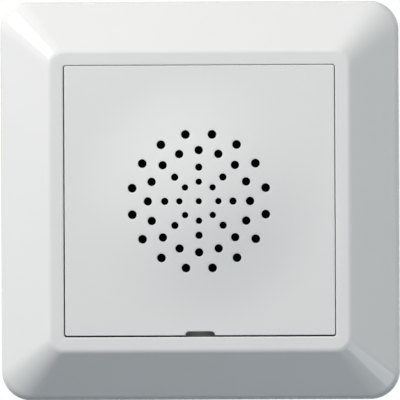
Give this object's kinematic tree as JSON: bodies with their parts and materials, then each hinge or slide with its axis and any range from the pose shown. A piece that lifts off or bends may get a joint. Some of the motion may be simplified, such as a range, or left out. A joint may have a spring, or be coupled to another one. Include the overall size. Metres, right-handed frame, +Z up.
{
  "type": "doorbell chime box",
  "caption": "Square wall chime with a sloped frame, a perforated cover plate and a claw-fixed insert that holds a loudspeaker and screw terminals.",
  "frame": {"origin": "on the chime's middle axis, in the wall plane", "axes": "+Y into the wall, so the front faces -Y; +Z up the wall; +X to the right seen from the front"},
  "size_m": [0.081, 0.0368, 0.081],
  "materials": {
    "frame_white": "gloss",
    "plate_white": "satin",
    "screen_black": "matt",
    "zinc_steel": "zinc plated",
    "carrier_grey": "matt",
    "cup_grey": "matt",
    "screw_steel": "zinc plated",
    "gasket_black": "moulded",
    "basket_steel": "zinc plated",
    "surround_black": "matt",
    "cone_grey": "pressed film",
    "copper": "enamelled wire",
    "pole_steel": "plain",
    "magnet_nickel": "nickel plated",
    "yoke_steel": "zinc plated",
    "lug_board_brown": "laminate",
    "lug_tin": "tinned",
    "lead_red": "insulated wire",
    "lead_black": "insulated wire",
    "board_green": "solder mask",
    "chip_black": "moulded",
    "capacitor_blue": "sleeve",
    "resistor_tan": "lacquer",
    "pot_blue": "moulded",
    "spindle_white": "moulded",
    "button_black": "moulded",
    "terminal_green": "moulded",
    "terminal_brass": "plain",
    "clamp_steel": "zinc plated"
  },
  "bodies": {
    "insert": {"support_ring": "zinc_steel", "speaker_carrier": "carrier_grey", "insert_cup": "cup_grey", "carrier_screws": "screw_steel", "speaker_gasket": "gasket_black", "speaker_basket": "basket_steel", "speaker_surround": "surround_black", "speaker_pole_plate": "pole_steel", "speaker_magnet": "magnet_nickel", "speaker_yoke": "yoke_steel", "speaker_lug_board": "lug_board_brown", "speaker_lugs": "lug_tin", "speaker_lead_red": "lead_red", "speaker_lead_black": "lead_black", "circuit_board": "board_green", "sound_chip": "chip_black", "capacitors": "capacitor_blue", "bridge_rectifier": "chip_black", "resistors": "resistor_tan", "volume_pot_body": "pot_blue", "tone_switch_body": "chip_black", "terminal_block": "terminal_green", "terminal_contacts": "terminal_brass", "claw_pins": "screw_steel"},
    "frame": {"cover_frame": "frame_white"},
    "plate": {"cover_plate": "plate_white", "dust_screen": "screen_black"},
    "cone": {"speaker_cone": "cone_grey", "voice_coil": "copper"},
    "volume_spindle": {"volume_spindle": "spindle_white"},
    "tone_button": {"tone_button": "button_black"},
    "terminal_screw_1": {"terminal_screw_1": "screw_steel"},
    "terminal_clamp_1": {"terminal_clamp_1": "clamp_steel"},
    "terminal_screw_2": {"terminal_screw_2": "screw_steel"},
    "terminal_clamp_2": {"terminal_clamp_2": "clamp_steel"},
    "terminal_screw_3": {"terminal_screw_3": "screw_steel"},
    "terminal_clamp_3": {"terminal_clamp_3": "clamp_steel"},
    "claw_screw_left": {"claw_screw_left": "screw_steel"},
    "claw_nut_left": {"claw_nut_left": "zinc_steel"},
    "claw_left": {"claw_left": "zinc_steel"},
    "claw_screw_right": {"claw_screw_right": "screw_steel"},
    "claw_nut_right": {"claw_nut_right": "zinc_steel"},
    "claw_right": {"claw_right": "zinc_steel"}
  },
  "joints": [
    {"name": "frame_pull", "type": "slide", "parent": "insert", "child": "frame", "axis": [0, -1, 0], "range_m": [0, 0.03]},
    {"name": "plate_pull", "type": "slide", "parent": "frame", "child": "plate", "axis": [0, -1, 0], "range_m": [0, 0.03]},
    {"name": "volume_turn", "type": "hinge", "parent": "insert", "child": "volume_spindle", "pos_m": [0.01485, 0, -0.01485], "axis": [0, 1, 0], "range_deg": [-135, 135]},
    {"name": "tone_press", "type": "slide", "parent": "insert", "child": "tone_button", "axis": [0, 1, 0], "range_m": [0, 0.0005], "stiffness_N_per_m": 1500},
    {"name": "cone_travel", "type": "slide", "parent": "insert", "child": "cone", "axis": [0, -1, 0], "range_m": [-0.0004, 0.0004], "stiffness_N_per_m": 900},
    {"name": "claw_screw_left_turn", "type": "hinge", "parent": "insert", "child": "claw_screw_left", "pos_m": [-0.0238, 0, 0], "axis": [0, 1, 0], "range_deg": [0, 4320]},
    {"name": "claw_nut_left_rise", "type": "slide", "parent": "insert", "child": "claw_nut_left", "axis": [0, -1, 0], "range_m": [0, 0.006]},
    {"name": "claw_left_swing", "type": "hinge", "parent": "insert", "child": "claw_left", "pos_m": [-0.0272, 0.0024, 0], "axis": [0, 0, 1], "range_deg": [0, 18.5]},
    {"name": "claw_screw_right_turn", "type": "hinge", "parent": "insert", "child": "claw_screw_right", "pos_m": [0.0238, 0, 0], "axis": [0, 1, 0], "range_deg": [0, 4320]},
    {"name": "claw_nut_right_rise", "type": "slide", "parent": "insert", "child": "claw_nut_right", "axis": [0, -1, 0], "range_m": [0, 0.006]},
    {"name": "claw_right_swing", "type": "hinge", "parent": "insert", "child": "claw_right", "pos_m": [0.0272, 0.0024, 0], "axis": [0, 0, -1], "range_deg": [0, 18.5]},
    {"name": "terminal_screw_1_turn", "type": "hinge", "parent": "insert", "child": "terminal_screw_1", "pos_m": [-0.008, 0.0234, -0.012], "axis": [0, -1, 0], "range_deg": [0, 1440]},
    {"name": "terminal_clamp_1_rise", "type": "slide", "parent": "insert", "child": "terminal_clamp_1", "axis": [0, 1, 0], "range_m": [0, 0.0018]},
    {"name": "terminal_screw_2_turn", "type": "hinge", "parent": "insert", "child": "terminal_screw_2", "pos_m": [-0.003, 0.0234, -0.012], "axis": [0, -1, 0], "range_deg": [0, 1440]},
    {"name": "terminal_clamp_2_rise", "type": "slide", "parent": "insert", "child": "terminal_clamp_2", "axis": [0, 1, 0], "range_m": [0, 0.0018]},
    {"name": "terminal_screw_3_turn", "type": "hinge", "parent": "insert", "child": "terminal_screw_3", "pos_m": [0.002, 0.0234, -0.012], "axis": [0, -1, 0], "range_deg": [0, 1440]},
    {"name": "terminal_clamp_3_rise", "type": "slide", "parent": "insert", "child": "terminal_clamp_3", "axis": [0, 1, 0], "range_m": [0, 0.0018]}
  ],
  "couplings": [
    {"joint": "claw_screw_left_turn", "follows": "claw_nut_left_rise", "rad_per_m": 12566},
    {"joint": "claw_left_swing", "follows": "claw_nut_left_rise", "rad_per_m": 53.81},
    {"joint": "claw_screw_right_turn", "follows": "claw_nut_right_rise", "rad_per_m": 12566},
    {"joint": "claw_right_swing", "follows": "claw_nut_right_rise", "rad_per_m": 53.81},
    {"joint": "terminal_screw_1_turn", "follows": "terminal_clamp_1_rise", "rad_per_m": 13963},
    {"joint": "terminal_screw_2_turn", "follows": "terminal_clamp_2_rise", "rad_per_m": 13963},
    {"joint": "terminal_screw_3_turn", "follows": "terminal_clamp_3_rise", "rad_per_m": 13963}
  ]
}
